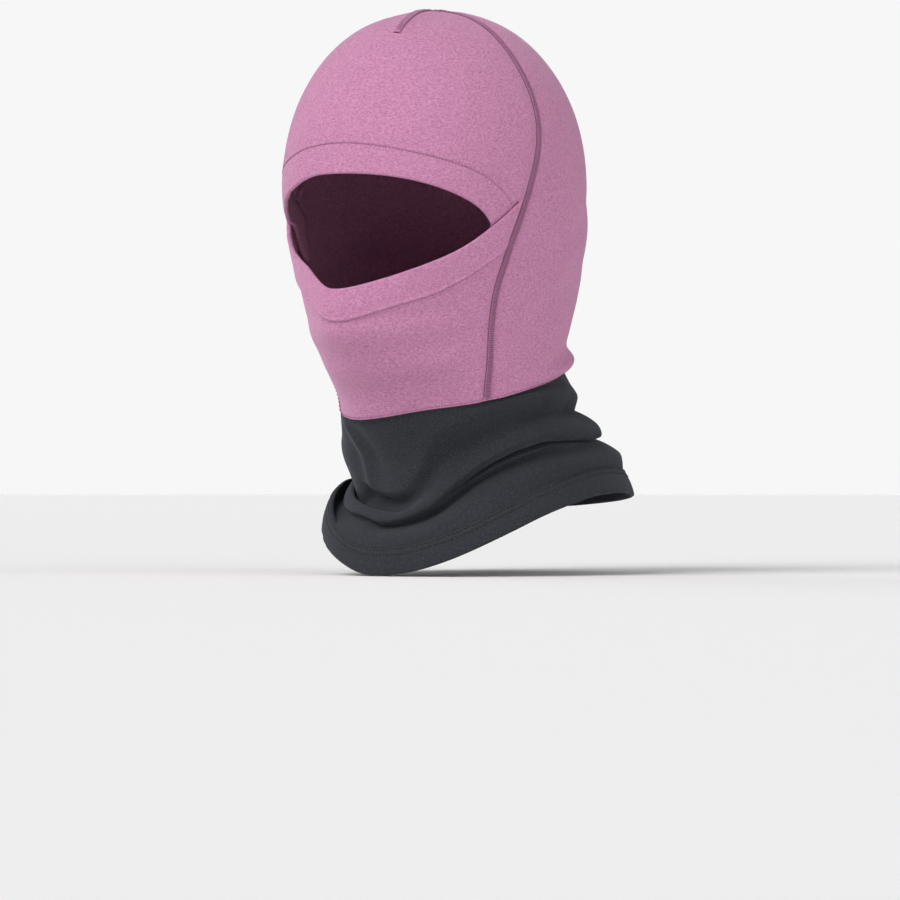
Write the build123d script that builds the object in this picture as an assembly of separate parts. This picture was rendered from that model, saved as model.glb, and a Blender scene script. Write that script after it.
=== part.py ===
"""A knitted balaclava as worn: a three-panel hood with a turned-down mask and a slouched neck gaiter.

Millimetres. +Z is up, the face looks along -Y and the wearer's left is +X.
The origin is the middle of the head, at its widest level, which is also the middle between the temples.
"""
from build123d import *
from functools import cache
from OCP.BRepOffsetAPI import BRepOffsetAPI_MakeOffsetShape
import math
import os

# Driving dimensions of the worn shape.
CROWN_HEIGHT = 97.0  # from the widest level of the head to the top of the hood
HEAD_HALF_WIDTH = 74.0
HEAD_HALF_LENGTH = 92.5
CROWN_FULLNESS = 2.1  # exponent of the dome, where 2 is an ellipsoid

# Fabric, thread and trim.
FABRIC = 1.2  # one layer of brushed interlock knit
LAYER_GAP = 0.1  # air between two loose layers
THREAD = 0.5  # how far a flatlock or coverstitch seam stands proud
FLATLOCK_WIDTH = 4.6
NECK_SEAM_WIDTH = 1.6
STITCH_WIDTH = 0.9
STITCH_PITCH = 4.0  # between the two rows of a twin-needle hem
DART_SEAM_WIDTH = 3.6
DART_START = -45.0  # y of the dart's front end, on the crown
BAR_TACK = (5.5, 1.4)
LABEL = (18.0, 0.4, 30.0)
LABEL_TOP = (77.6, -87.0)  # y and z of its sewn edge, just inside the back of the neck seam

# Stations down the body of the garment, below the widest level:
# (level z, centre y, half width, front depth, back depth, roundness of the front half).
# Roundness 2 is an ellipse; less than 2 is the blunt wedge that stretched cloth makes at the front.
STATIONS = [
    (0.0, 0.0, HEAD_HALF_WIDTH, HEAD_HALF_LENGTH, HEAD_HALF_LENGTH, 2.00),
    (-26.0, 1.5, 72.0, 95.0, 92.0, 1.85),
    (-50.0, 4.0, 68.0, 98.0, 85.0, 1.66),
    (-72.0, 7.0, 64.0, 100.0, 73.0, 1.55),
    (-92.0, 11.0, 61.5, 83.0, 68.0, 1.70),
    (-110.0, 16.0, 60.0, 64.0, 66.0, 1.95),
    (-125.0, 22.0, 63.0, 61.0, 77.0, 2.00),
    (-140.0, 31.0, 67.5, 61.0, 90.0, 2.00),
    (-156.0, 35.0, 74.0, 65.0, 91.0, 2.05),
    (-174.0, 36.0, 80.0, 73.0, 88.0, 2.15),
    (-192.0, 36.0, 82.0, 78.0, 85.0, 2.20),
    (-212.0, 36.0, 81.0, 77.0, 84.0, 2.20),
]
CROWN_LEVELS = (24, 47, 67, 82, 92, 96, 96.99)  # the last leaves a pinhole at the very top
SECTION_STEPS = 10  # round half of a level outline

# Seam and edge lines, seen from the side as (y, z).
ARCH_SEAM = [(4, 112), (-8, 78), (-9.5, 30), (-21, 0), (-29.5, -30), (-29, -80), (-20, -118), (-8, -150)]
FOREHEAD_EDGE = [(-130, 12), (-93.6, 6.5), (-81.7, 2.8), (-69.3, -2.2), (-56.9, -8.4), (-48, -14.5), (-42.5, -21), (-24, -48)]
FOREHEAD_STITCH = [(-130, 38), (-89.5, 25.4), (-83, 22.3), (-71.4, 18), (-57.5, 12.7), (-44.5, 6), (-32, -5), (-14, -28)]
MASK_EDGE = [(-130, -74), (-95.6, -54.8), (-83.7, -48.5), (-71.3, -41.8), (-58.4, -34.2), (-49.6, -27.4), (-31.7, -10.8), (-10, 4)]
MASK_STITCH = [(-130, -86), (-93.6, -70.8), (-83.6, -65), (-71.5, -59.6), (-59.5, -53.6), (-45.7, -43.6), (-32.8, -33), (-10, -15)]
NECK_SEAM_FRONT = (-48.0, -118.0)
NECK_SEAM_BACK = (77.0, -86.0)

# Lower edge of the gaiter, low at the chest and back and high on the shoulders.
HEM_FRONT = (-42.0, -204.0)
HEM_RISE_AT_SHOULDER = 34.0
HEM_RISE_TO_BACK = 9.0  # degrees
HEM_DEPTH = 17.0

REACH = 260.0  # further out than any part of the garment


def half_outline(centre, width, front, back, roundness):
    """Points round the left half of a level outline, from its front to its back."""
    points = []
    for i in range(SECTION_STEPS + 1):
        turn = math.pi * i / SECTION_STEPS
        side, ahead = math.sin(turn), math.cos(turn)
        power = 2 / roundness if ahead > 0 else 1.0
        depth = front if ahead > 0 else back
        x = side**power * width if 0 < i < SECTION_STEPS else 0.0
        points.append((x, centre - math.copysign(abs(ahead) ** power, ahead) * depth))
    return points


def section(level, centre, width, front, back, roundness):
    """A level outline with one edge for each side of the body."""
    half = half_outline(centre, width, front, back, roundness)
    even = [i / SECTION_STEPS for i in range(SECTION_STEPS + 1)]
    sides = []
    for hand in (1, -1):
        points = [(hand * x, y, level) for x, y in half]
        ends = [(hand * half[1][0] * SECTION_STEPS, 0, 0), (-hand * half[-2][0] * SECTION_STEPS, 0, 0)]
        sides.append(Edge.make_spline(points, tangents=ends, parameters=even, scale=False))
    return make_face(sides)


@cache
def left_side():
    """The left half of the worn shape's surface, which is the inside of the fabric."""
    outlines = [section(*station) for station in reversed(STATIONS)]
    for level in CROWN_LEVELS:
        share = (1 - (level / CROWN_HEIGHT) ** CROWN_FULLNESS) ** (1 / CROWN_FULLNESS)
        half_width, half_length = HEAD_HALF_WIDTH * share, HEAD_HALF_LENGTH * share
        outlines.append(section(level, 0, half_width, half_length, half_length, 2))
    body = loft(outlines, clean=False)
    return body.faces().filter_by(GeomType.BSPLINE).sort_by(Axis.X)[-1]


def lifted(face, distance):
    """A face moved along its own normals."""
    if distance == 0:
        return [face]
    mover = BRepOffsetAPI_MakeOffsetShape()
    mover.PerformBySimple(face.wrapped, distance)
    return Solid.cast(mover.Shape()).faces()


def fabric(inner, outer, within=(), outside=()):
    """Fabric or thread from one distance outside the worn shape to another, on the left, cut to the regions given."""
    patch = left_side()
    for region in within:
        patch = patch & region
    for region in outside:
        patch = patch - region
    layers = [Solid.thicken(side, outer - inner) for face in patch.faces() for side in lifted(face, inner)]
    return Part(children=layers) if len(layers) > 1 else Part(layers[0].wrapped)


def shifted(points, dy=0.0, dz=0.0):
    return [(y + dy, z + dz) for y, z in points]


def side_region(line, corners):
    """A side-view face bounded by a smooth line and by straight runs through corners."""
    edge = Spline(*line)
    back_to_start = Polyline(line[-1], *corners, line[0])
    return make_face([edge, back_to_start])


def across(face):
    """A side-view face carried through the whole width."""
    return extrude(Plane.YZ * face, amount=REACH, both=True)


def ahead_of(line):
    """Everything in front of a line drawn from top to bottom."""
    return across(side_region(line, [(-REACH, line[-1][1]), (-REACH, line[0][1])]))


def above(line):
    """Everything above a line drawn from front to back, which runs on level past its ends."""
    levels = [(REACH, line[-1][1]), (REACH, REACH), (-REACH, REACH), (-REACH, line[0][1])]
    return across(side_region(line, levels))


def above_neck(dz=0.0):
    """Everything above the straight, sloping neck seam."""
    (y0, z0), (y1, z1) = NECK_SEAM_FRONT, NECK_SEAM_BACK
    slope = (z1 - z0) / (y1 - y0)
    low, high = z0 + dz - slope * (REACH + y0), z0 + dz + slope * (REACH - y0)
    return across(make_face(Polyline((-REACH, low), (REACH, high), (REACH, REACH), (-REACH, REACH), (-REACH, low))))


def above_hem(rise):
    """Everything above the gaiter's curved lower edge, or above a line rise higher."""
    low = HEM_FRONT[1] + rise
    high = low + HEM_RISE_AT_SHOULDER
    half = STATIONS[-1][2]
    edge = ThreePointArc((-half, high), (0, low), (half, high))
    sides = Polyline((half, high), (REACH, high), (REACH, REACH), (-REACH, REACH), (-REACH, high), (-half, high))
    block = extrude(Plane.XZ * make_face([edge, sides]), amount=REACH, both=True)
    return block.rotate(Axis((0, *HEM_FRONT), (1, 0, 0)), HEM_RISE_TO_BACK)


def slab(x=(-REACH, REACH), y=(-REACH, REACH), z=(-REACH, REACH)):
    """A box between two values on each axis."""
    spans = (x, y, z)
    middle = Pos(*[(low + high) / 2 for low, high in spans])
    return middle * Box(*[high - low for low, high in spans])


def both_halves(left):
    """A left half joined to its mirror image across the middle plane."""
    return left + mirror(left, Plane.YZ)


def hood_pieces():
    ahead, above_edge = ahead_of(ARCH_SEAM), above(FOREHEAD_EDGE)
    above_stitch, above_mask = above(FOREHEAD_STITCH), above(shifted(MASK_EDGE, dz=LAYER_GAP))
    back_left = fabric(0, FABRIC, [above_neck()], [ahead])
    hem = fabric(-FABRIC, FABRIC, [ahead, above_edge, above_mask], [above_stitch])
    tucked_hem = fabric(-FABRIC, -LAYER_GAP, [ahead, above_edge], [above_stitch, above_mask])
    return {
        "crown_panel": both_halves(fabric(0, FABRIC, [ahead, above_stitch, above_mask])),
        "forehead_hem": Compound(children=[both_halves(hem), tucked_hem, mirror(tucked_hem, Plane.YZ)]),
        "back_panel_left": back_left,
        "back_panel_right": mirror(back_left, Plane.YZ),
    }


def mask_pieces():
    lower_face = [ahead_of(shifted(ARCH_SEAM, dy=-LAYER_GAP)), above_neck()]
    above_edge, above_stitch = above(MASK_EDGE), above(MASK_STITCH)
    return {
        "mask_panel": both_halves(fabric(0, FABRIC, lower_face, [above_stitch])),
        "mask_hem": both_halves(fabric(0, FABRIC, [*lower_face, above_stitch], [above_edge])),
    }


def gaiter_pieces():
    above_top, below_hood = above_hem(HEM_DEPTH + LAYER_GAP), above_neck(-LAYER_GAP)
    return {
        "gaiter_tube": both_halves(fabric(0, FABRIC, [above_top], [below_hood])),
        "gaiter_hem": both_halves(fabric(-FABRIC, FABRIC, [above_hem(0)], [above_hem(HEM_DEPTH)])),
    }


def thread(within, outside=()):
    """Seam or stitching threads, which lie on the outside of the fabric."""
    low = FABRIC + LAYER_GAP
    return both_halves(fabric(low, low + THREAD, within, outside))


def stitch_rows(line, rows, within):
    """Rows of coverstitch, each starting at its own height above a line."""
    made = []
    for low in rows:
        top = above(shifted(line, dz=low + STITCH_WIDTH))
        made.append(thread([*within, above(shifted(line, dz=low))], [top]))
    return Compound(children=made)


def gaiter_rows(depths):
    """Rows of coverstitch round the gaiter, each at its own depth below the top of the hem."""
    made = []
    for depth in depths:
        rise = HEM_DEPTH - depth
        made.append(thread([above_hem(rise - STITCH_WIDTH)], [above_hem(rise)]))
    return Compound(children=made)


def seam_pieces():
    half, dart_half = FLATLOCK_WIDTH / 2, DART_SEAM_WIDTH / 2
    before, past = ahead_of(shifted(ARCH_SEAM, dy=-half)), ahead_of(shifted(ARCH_SEAM, dy=half))
    hood = above_neck(NECK_SEAM_WIDTH)
    back_strip = slab(x=(-half, half), y=(0, REACH))
    dart_strip = slab((-dart_half, dart_half), (DART_START, 0), (0, REACH))
    return {
        "arch_seam": thread([hood, past], [before]),
        "centre_back_seam": thread([hood, back_strip], [past]),
        "crown_dart_seam": thread([before, dart_strip]),
        "forehead_hem_stitching": stitch_rows(FOREHEAD_STITCH, (-STITCH_WIDTH, -STITCH_PITCH), [before]),
        "mask_hem_stitching": stitch_rows(MASK_STITCH, (-STITCH_WIDTH,), [before]),
        "neck_seam": thread([above_neck()], [hood]),
        "gaiter_hem_stitching": gaiter_rows((STITCH_WIDTH, STITCH_PITCH)),
        "gaiter_back_seam": thread([back_strip, above_hem(HEM_DEPTH)], [above_neck(-LAYER_GAP)]),
    }


def crown_top(y):
    """Height of the hood's outer surface on its middle line, at y."""
    share = abs(y) / (HEAD_HALF_LENGTH + FABRIC)
    return (CROWN_HEIGHT + FABRIC) * (1 - share**CROWN_FULLNESS) ** (1 / CROWN_FULLNESS)


def dart_tack():
    """The short dense bar of thread that ends the dart."""
    length, width = BAR_TACK
    y = DART_START - width
    slope = math.degrees(math.atan2(crown_top(y + 1) - crown_top(y - 1), 2))
    seat = Pos(0, y, crown_top(y) + THREAD / 2 + LAYER_GAP) * Rot(slope, 0, 0)
    return seat * extrude(SlotOverall(length, width), amount=THREAD / 2, both=True)


def care_label():
    """A blank label that hangs from the inside of the neck seam at the centre back."""
    width, thickness, height = LABEL
    y, z = LABEL_TOP
    return Pos(0, y, z - height / 2) * Box(width, thickness, height)


def main():
    os.makedirs("parts", exist_ok=True)
    pieces = {**hood_pieces(), **mask_pieces(), **gaiter_pieces(), **seam_pieces()}
    pieces["crown_dart_tack"] = dart_tack()
    pieces["care_label"] = care_label()
    for name, shape in pieces.items():
        solids = shape.solids()
        print(name, len(solids), round(sum(s.volume for s in solids)))
        export_step(Compound(children=list(solids)), f"parts/{name}.step")


main()
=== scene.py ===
"""The balaclava's looks: knit panels, folded hems, flatlock seams and a slouched gaiter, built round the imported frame.

Metres, in the frame's own axes: +Z up, the face looks along -Y, the wearer's left is +X.
The hood's panels are cut from one fine grid that is read off the CAD pieces, so each sits where its CAD solid is.
"""
import bmesh
import bpy
import math
import numpy as np
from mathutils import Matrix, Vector, noise
from mathutils.bvhtree import BVHTree


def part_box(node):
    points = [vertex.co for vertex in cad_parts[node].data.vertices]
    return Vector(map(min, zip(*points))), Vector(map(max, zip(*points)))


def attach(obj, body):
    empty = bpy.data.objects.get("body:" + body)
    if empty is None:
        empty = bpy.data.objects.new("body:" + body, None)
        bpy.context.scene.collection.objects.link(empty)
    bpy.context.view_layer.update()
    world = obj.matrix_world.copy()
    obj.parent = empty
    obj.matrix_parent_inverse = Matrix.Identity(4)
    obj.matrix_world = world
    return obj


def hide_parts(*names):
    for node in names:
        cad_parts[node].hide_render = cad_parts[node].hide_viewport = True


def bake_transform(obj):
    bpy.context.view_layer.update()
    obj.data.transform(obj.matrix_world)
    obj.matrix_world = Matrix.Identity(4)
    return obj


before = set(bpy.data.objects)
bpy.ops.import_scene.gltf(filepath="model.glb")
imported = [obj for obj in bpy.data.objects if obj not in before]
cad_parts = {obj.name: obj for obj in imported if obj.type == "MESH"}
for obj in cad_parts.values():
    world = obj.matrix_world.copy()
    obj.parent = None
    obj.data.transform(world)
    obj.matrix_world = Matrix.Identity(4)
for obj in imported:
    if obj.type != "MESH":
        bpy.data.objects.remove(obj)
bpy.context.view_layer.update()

MM = 0.001
FABRIC = 1.2 * MM  # one layer of knit
COLUMNS = 400  # round the head, starting at the front and going towards the wearer's left
DOME_ROWS = 110  # from the crown down to the widest level
BODY_ROW = 1.3 * MM  # row spacing below that
REACH = 0.3  # longer than any ray has to be
HEM_SPACING = 1.3 * MM  # between the loops of a folded hem
SEAM_STEP = 3 * MM  # height of the bands the arch seam is read in
TURN_STEP = 2  # degrees between places where the hems' edges are read
DART_LEAN = 0.20  # the hood is worn a little twisted, so its middle line leans to the wearer's left
DART_SLIP = 7 * MM  # how far the top of the dart has been pulled forwards

HOOD_NODES = ("crown_panel", "forehead_hem", "back_panel_left", "back_panel_right", "mask_panel", "mask_hem")


# ---------------- reading the frame

def cad_points(node):
    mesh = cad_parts[node].data
    points = np.empty(len(mesh.vertices) * 3)
    mesh.vertices.foreach_get("co", points)
    return points.reshape(-1, 3)


def cad_tree(nodes):
    """One BVH tree over several CAD nodes."""
    points, faces = [], []
    for node in nodes:
        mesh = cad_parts[node].data
        start = len(points)
        points += [v.co.copy() for v in mesh.vertices]
        faces += [[start + i for i in p.vertices] for p in mesh.polygons]
    return BVHTree.FromPolygons(points, faces)


def smoothed(values, passes=1):
    for _ in range(passes):
        padded = np.pad(values, 1, mode="reflect", reflect_type="odd")
        values = (padded[:-2] + 2 * padded[1:-1] + padded[2:]) / 4
    return values


def blurred_down(grid):
    """A grid with each row mixed with the two beside it."""
    padded = np.concatenate([grid[:1], grid, grid[-1:]])
    return (padded[:-2] + 2 * padded[1:-1] + padded[2:]) / 4


def blurred_round(grid, axis=1):
    """A grid with each column mixed with the two beside it, all the way round."""
    return (np.roll(grid, 1, axis) + 2 * grid + np.roll(grid, -1, axis)) / 4


def arch_seam_side():
    """The arch seam in side view on the wearer's left: a function from height to y, straight past its ends."""
    points = cad_points("arch_seam")
    points = points[points[:, 0] > -0.1 * MM][:, (2, 1)]
    bins = np.round(points[:, 0] / SEAM_STEP).astype(int)
    bands = [points[bins == b] for b in sorted(set(bins))]
    places, values = np.array([(band.min(0) + band.max(0)) / 2 for band in bands]).T
    even = np.arange(places[0], places[-1], SEAM_STEP / 2)
    values = smoothed(np.interp(even, places, values), 40)
    slope_low = (values[4] - values[0]) / (even[4] - even[0])
    slope_high = (values[-1] - values[-5]) / (even[-1] - even[-5])

    def line(value):
        made = np.interp(value, even, values)
        made = np.where(value < even[0], values[0] + slope_low * (value - even[0]), made)
        return np.where(value > even[-1], values[-1] + slope_high * (value - even[-1]), made)

    return line


def edge_height(node, pick, passes, right_side):
    """The height of a node's edge by degrees round from the front: a function of points.

    The CAD's two sides are alike; as worn, right_side(x) is how much higher the edge sits on the wearer's right."""
    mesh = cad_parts[node].data
    points = cad_points(node)
    ends = np.array([edge.vertices[:] for edge in mesh.edges])
    shares = np.linspace(0, 1, 7)[:, None, None]
    points = (points[ends[:, 0]] * (1 - shares) + points[ends[:, 1]] * shares).reshape(-1, 3)
    points = points[points[:, 0] > 0]
    turn = np.degrees(np.arctan2(points[:, 0], -points[:, 1]))
    bins = np.round(turn / TURN_STEP).astype(int)
    places, values = [], []
    for b in sorted(set(bins)):
        inside = np.flatnonzero(bins == b)
        best = inside[pick(points[inside, 2])]
        places.append(turn[best])
        values.append(points[best, 2])
    even = np.arange(0, places[-1], 1.0)
    values = np.interp(even, places, values)
    values = smoothed(np.concatenate([values[:0:-1], values]), passes)[len(values) - 1:]
    slope = (values[-3] - values[-9]) / 6

    def height(where):
        x, y = where[..., 0], where[..., 1]
        turned = np.abs(np.degrees(np.arctan2(x, -y)))
        made = np.interp(turned, even[:-2], values[:-2])
        made = np.where(turned > even[-3], values[-3] + slope * (turned - even[-3]), made)
        return made + right_side(x)

    return height


seam_y = arch_seam_side()
NECK_LOW, NECK_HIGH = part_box("neck_seam")
NECK_SLOPE = (NECK_HIGH.z - NECK_LOW.z) / (NECK_HIGH.y - NECK_LOW.y)


def neck_height(points):
    """How far points lie above the sloping plane of the neck seam."""
    return points[..., 2] - (NECK_LOW.z + NECK_SLOPE * (points[..., 1] - NECK_LOW.y))


def bell(distance, width):
    return np.exp(-((distance / width) ** 2))


def step_up(value, start, end):
    """0 before start, 1 after end, smooth between."""
    t = np.clip((value - start) / (end - start), 0, 1)
    return t * t * (3 - 2 * t)


def unevenness(points, size, seed):
    """Soft fixed noise from -1 to 1 at each point, with features of the given size."""
    flat = points.reshape(-1, 3) / size + seed
    return np.array([noise.noise(Vector(p)) for p in flat]).reshape(points.shape[:-1])


# the mask sits a little higher on the wearer's right, and the forehead's edge lower
forehead_top = edge_height("forehead_hem", np.argmax, 10, lambda x: -0.8 * MM * step_up(-x, 24 * MM, 44 * MM))
forehead_low = edge_height("forehead_hem", np.argmin, 6, lambda x: -3.4 * MM * step_up(-x, 12 * MM, 42 * MM))
mask_top = edge_height("mask_hem", np.argmax, 6, lambda x: 7.0 * MM * step_up(-x, 0, 30 * MM))
mask_low = edge_height("mask_hem", np.argmin, 8, lambda x: 5.6 * MM * step_up(-x, 2 * MM, 30 * MM))

# ---------------- the hood's worn surface

COLLAR_LOW, COLLAR_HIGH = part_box("gaiter_hem")
NECK_CENTRE = (COLLAR_LOW.y + COLLAR_HIGH.y) / 2  # y of the neck's middle, behind the head's own


def cast_surface():
    """The CAD's outer surface on a grid of rows, from crown to neck, by columns."""
    tree = cad_tree(HOOD_NODES + ("gaiter_tube",))
    body_rows = int((10 * MM - NECK_LOW.z) / BODY_ROW)
    rows = [(0.0, math.pi / 2 * (1 - (i + 0.35) / DOME_ROWS)) for i in range(DOME_ROWS)]
    rows += [(-i * BODY_ROW, 0.0) for i in range(body_rows)]
    radius = np.full((len(rows), COLUMNS), np.nan)
    starts, outs = np.zeros((len(rows), COLUMNS, 3)), np.zeros((len(rows), COLUMNS, 3))
    for r, (level, tilt) in enumerate(rows):
        back = NECK_CENTRE * float(step_up(-level, 0, -COLLAR_LOW.z))
        centre = Vector((0, back, level))
        for c in range(COLUMNS):
            turn = c * 2 * math.pi / COLUMNS
            out = Vector((math.sin(turn) * math.cos(tilt), -math.cos(turn) * math.cos(tilt), math.sin(tilt)))
            hit = tree.ray_cast(centre + out * REACH, -out, REACH)[0]
            if hit:
                radius[r, c] = (hit - centre).length
            starts[r, c], outs[r, c] = centre, out
    for c in range(COLUMNS):
        gap = np.isnan(radius[:, c])
        if gap.any():
            radius[gap, c] = np.interp(np.flatnonzero(gap), np.flatnonzero(~gap), radius[~gap, c])
    for _ in range(4):
        radius = blurred_round(blurred_down(radius))
    return starts + outs * radius[..., None]


def change_round(grid):
    return (np.roll(grid, -1, 1) - np.roll(grid, 1, 1)) / 2


def grid_normals(grid):
    """Outward unit normals of a grid that closes round its columns."""
    normal = np.cross(np.gradient(grid, axis=0), change_round(grid))
    return normal / np.maximum(np.linalg.norm(normal, axis=-1, keepdims=True), 1e-12)


def distance_to(field, grid):
    """A field over its own slope on the surface: about how far each point is from where the field is zero."""
    down = np.gradient(field, axis=0) / np.maximum(np.linalg.norm(np.gradient(grid, axis=0), axis=-1), 1e-6)
    across = change_round(field) / np.maximum(np.linalg.norm(change_round(grid), axis=-1), 1e-6)
    return field / np.maximum(np.hypot(down, across), 0.2)


def displaced(grid, offset):
    return grid + grid_normals(grid) * offset[..., None]


def hood_offset(grid):
    """How far the worn knit stands off the CAD's plain shape: seams pull in, loose fabric folds and rolls."""
    x, y, z = grid[..., 0], grid[..., 1], grid[..., 2]
    turn = np.degrees(np.arctan2(x, -(y - 12 * MM)))  # 0 at the front, positive to the wearer's left
    seam = distance_to(y - seam_y(z), grid)
    offset = 0.35 * MM * unevenness(grid, 38 * MM, 3.1) + 0.12 * MM * unevenness(grid, 13 * MM, 7.7)
    offset -= 0.55 * MM * bell(seam, 3.2 * MM)  # the flatlock pulls its two panels in
    offset += 0.30 * MM * bell(np.abs(seam) - 8 * MM, 4 * MM)
    # the tented end of the crown dart
    aside = x + y * DART_LEAN
    dart = step_up(-y, 6 * MM, 26 * MM) * step_up(y, -63 * MM, -46 * MM) * (z > 50 * MM)
    offset += 1.2 * MM * dart * bell(aside, 5 * MM)
    offset -= 0.6 * MM * dart * bell(np.abs(aside) - 12 * MM, 5 * MM)
    offset -= 2.8 * MM * bell(np.hypot(x, y + 12 * MM), 42 * MM) * (z > 0)  # the crown is a little flat on top
    # soft level folds on the mask, below the nose
    loose = step_up(z, -122 * MM, -104 * MM) * step_up(-z, 58 * MM, 74 * MM) * step_up(-seam, 6 * MM, 30 * MM)
    loose = loose * (0.45 + 0.55 * step_up(x, -40 * MM, 5 * MM))
    sag = 0.10 * np.abs(x) + 0.03 * x
    for level, height, width in ((-70, -0.9, 5), (-78, 0.7, 6), (-89, -0.9, 5), (-97, 0.8, 6), (-106, -0.6, 4)):
        offset += height * MM * loose * bell(z - sag - level * MM, width * MM)
    # tension folds from the nape up to the arch seam, and down the back of the neck
    behind = step_up(seam, 3 * MM, 26 * MM) * step_up(80 - np.abs(np.abs(turn) - 100), 0, 40)
    for level, rise, height, width in ((-20, 0.55, -0.55, 6), (-34, 0.5, 0.35, 7), (-50, 0.45, -0.6, 7),
                                       (-68, 0.3, 0.4, 8)):
        fold = z - level * MM - rise * (y - 30 * MM)
        offset += height * MM * behind * bell(fold, width * MM)
    # the hood's loose lower edge rolls over the top of the gaiter at the back
    edge = neck_height(grid)
    rolled = step_up(np.abs(turn), 62, 112)
    offset += rolled * MM * (3.6 * bell(edge - 4.6 * MM, 3.8 * MM) - 1.2 * bell(edge - 13 * MM, 5 * MM))
    # the mask is drawn in under the jaw on the wearer's right
    offset -= 4.6 * MM * step_up(-z, 78 * MM, 108 * MM) * bell(turn + 60, 42) * (1 - 0.45 * bell(edge, 7 * MM))
    offset -= (0.5 + 1.8 * rolled) * MM * bell(edge, 2.0 * MM)
    return offset


def neck_drop(x, turn):
    """How far the neck seam has slipped down: on the wearer's right, and all along the back."""
    right = 6.8 * MM * step_up(-x, -30 * MM, 38 * MM) * step_up(-np.abs(turn), -150, -100)
    return right + 1.8 * MM * step_up(np.abs(turn), 70, 112)


def slipped(points):
    """How far each point of the plain shape has slipped down with the neck seam."""
    x, y = points[..., 0], points[..., 1] - 18 * MM
    near_edge = 1 - step_up(neck_height(points), 2 * MM, 38 * MM)
    return neck_drop(x, np.degrees(np.arctan2(x, -y))) * near_edge


def worn(grid):
    """The hood as worn: the plain shape with its folds, and its lower edge where the neck seam has slipped to."""
    moved = displaced(grid, hood_offset(grid))
    moved[..., 2] -= slipped(grid)
    return moved


RAW = cast_surface()
HOOD = worn(RAW)
HOOD_NORMALS = grid_normals(HOOD)


def grid_tree(grid):
    rows, columns = grid.shape[:2]
    index = np.arange(rows * columns).reshape(rows, columns)
    beside = np.roll(index, -1, 1)
    faces = np.stack([index[:-1], index[1:], beside[1:], beside[:-1]], -1).reshape(-1, 4)
    return BVHTree.FromPolygons([Vector(p) for p in grid.reshape(-1, 3)], faces.tolist())


HOOD_TREE = grid_tree(HOOD)


def on_surface(point, tree, grid, normals):
    """The nearest point of a grid surface, and its smooth normal there."""
    place, _, face, _ = tree.find_nearest(Vector(point))
    rows, columns = grid.shape[:2]
    r, c = divmod(face, columns)
    beside = (c + 1) % columns
    corner = grid[r, c]
    right, down = grid[r, beside] - corner, grid[r + 1, c] - corner
    away = np.array(place) - corner
    u = min(max(float(away @ right / max(right @ right, 1e-12)), 0), 1)
    v = min(max(float(away @ down / max(down @ down, 1e-12)), 0), 1)
    normal = (normals[r, c] * (1 - u) + normals[r, beside] * u) * (1 - v)
    normal = normal + (normals[r + 1, c] * (1 - u) + normals[r + 1, beside] * u) * v
    return np.array(place), normal / np.linalg.norm(normal)


def on_hood(point):
    return on_surface(point, HOOD_TREE, HOOD, HOOD_NORMALS)


# ---------------- lines on the hood

def matched(points, count):
    """A line resampled to an exact number of evenly spaced points."""
    points = np.array(points)
    along = np.concatenate([[0], np.cumsum(np.linalg.norm(np.diff(points, axis=0), axis=1))])
    places = np.linspace(0, along[-1], count)
    return np.stack([np.interp(places, along, column) for column in points.T], -1)


def resampled(points, spacing, closed=False):
    """A line resampled to about the given spacing. A closed line doesn't repeat its first point."""
    points = np.array(points)
    if closed:
        points = np.vstack([points, points[:1]])
    length = np.linalg.norm(np.diff(points, axis=0), axis=1).sum()
    made = matched(points, max(int(round(length / spacing)), 2) + 1)
    return made[:-1] if closed else made


def crossings(field):
    """Where a field changes sign going down each column: one point per column, or None."""
    made = []
    for c in range(COLUMNS):
        column = field[:, c]
        rows = np.flatnonzero((column[:-1] > 0) & (column[1:] <= 0))
        if len(rows) == 0:
            made.append(None)
            continue
        r = rows[-1]
        t = column[r] / (column[r] - column[r + 1])
        made.append(HOOD[r, c] * (1 - t) + HOOD[r + 1, c] * t)
    return made


def face_line(height_of):
    """A line across the face from the arch seam on the wearer's right to the one on the left."""
    points = crossings(RAW[..., 2] - height_of(RAW))
    half = COLUMNS // 3
    ordered = [points[c % COLUMNS] for c in range(-half, half + 1)]
    ordered = np.array([p for p in ordered if p is not None])
    beyond = ordered[:, 1] - seam_y(ordered[:, 2])
    kept = np.flatnonzero(beyond < 0)
    first, last = kept[0], kept[-1]
    made = list(ordered[first:last + 1])
    for near, far, at_start in ((first, first - 1, True), (last, last + 1, False)):
        if 0 <= far < len(ordered):
            t = beyond[near] / (beyond[near] - beyond[far])
            end = ordered[near] * (1 - t) + ordered[far] * t
            made.insert(0, end) if at_start else made.append(end)
    return np.array(made)


def arch_line():
    """The arch seam from the neck on the wearer's right, over the crown, to the neck on the left."""
    left = []
    levels = np.arange(NECK_LOW.z, 0, 1.0 * MM)
    directions = [(level, 0.0) for level in levels] + [(0.0, a) for a in np.linspace(0, math.pi / 2, 130)]
    for level, tilt in directions:
        out = np.array([math.cos(tilt), 0, math.sin(tilt)])
        y = float(seam_y(level))
        for _ in range(6):
            start = np.array([0, y, level]) + out * REACH
            hit = HOOD_TREE.ray_cast(Vector(start), Vector(-out), REACH)[0]
            if hit is None:
                break
            y = float(seam_y(hit.z))
        if hit is not None and neck_height(np.array(hit)) > 1.4 * MM:
            left.append(np.array(hit))
    right = [p * np.array([-1, 1, 1]) for p in left]
    right = [on_hood(p - np.array([0, 0, float(slipped(p))]))[0] for p in right]
    return resampled(right + left[::-1][1:], MM)


# ---------------- making meshes

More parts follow.
